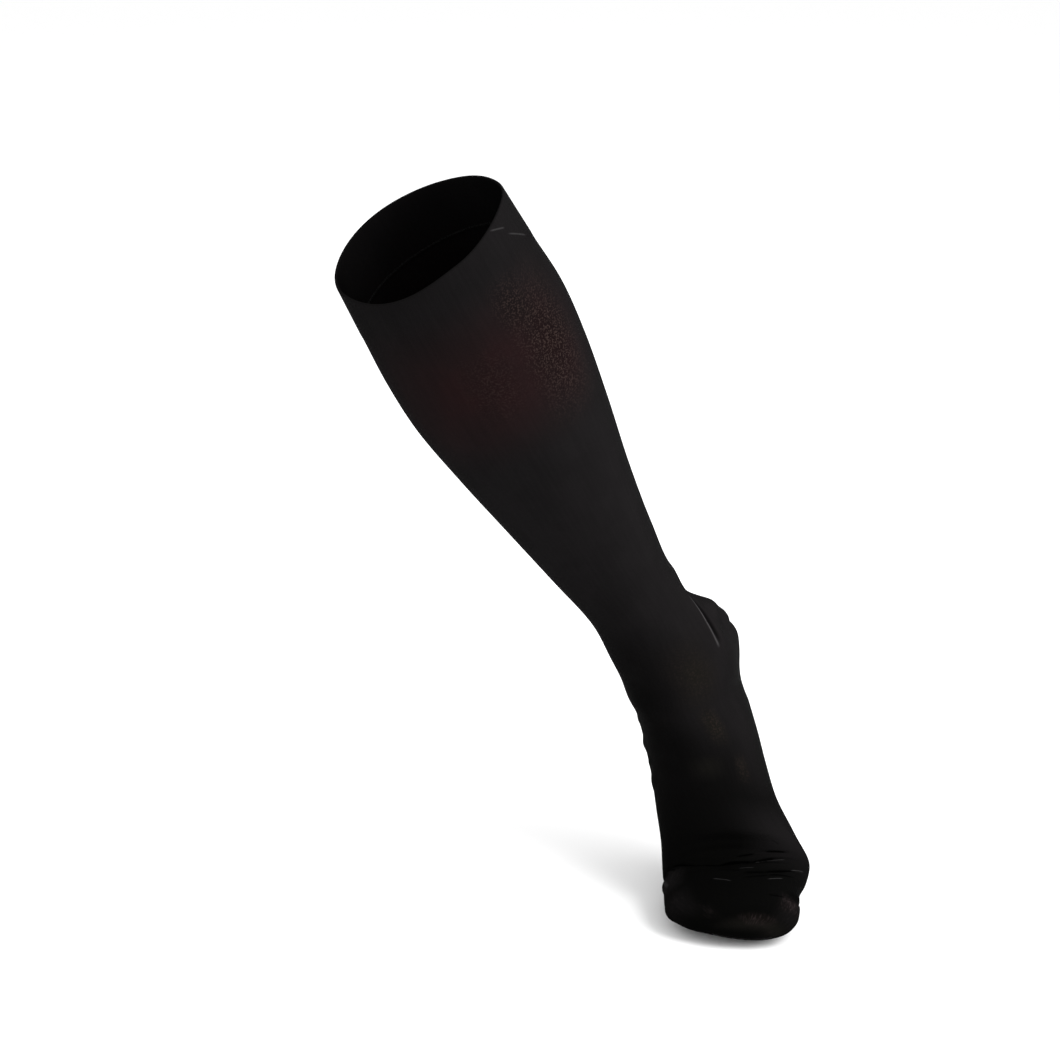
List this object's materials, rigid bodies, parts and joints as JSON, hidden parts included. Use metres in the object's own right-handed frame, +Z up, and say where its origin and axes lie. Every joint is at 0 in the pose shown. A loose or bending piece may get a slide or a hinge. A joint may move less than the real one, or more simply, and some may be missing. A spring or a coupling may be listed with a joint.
{
  "type": "worn knee-high compression stocking",
  "caption": "Knee-high closed-toe compression stocking in its worn form: open top band, calf, ankle, heel and bent toe as a thin hollow knitted wall.",
  "frame": {"origin": "centre of the open top edge, where the wearer's leg holds the stocking up", "axes": "+Z up with the toes flat on a level ground, -Y towards the front of the foot, +X towards the inner side of the leg"},
  "size_m": [0.2905, 0.2246, 0.4596],
  "materials": {
    "band_knit": "matt black double knit, greyer where it is thick",
    "leg_knit": "near-black fine knit with a low silky sheen, warmer where it is stretched over the calf",
    "foot_knit": "near-black fine knit, dense and matt, with crossing creases at the base of the toes"
  },
  "bodies": {
    "root": {"top_band": "band_knit", "leg": "leg_knit", "heel": "foot_knit", "foot": "foot_knit", "toe": "foot_knit"}
  },
  "joints": []
}
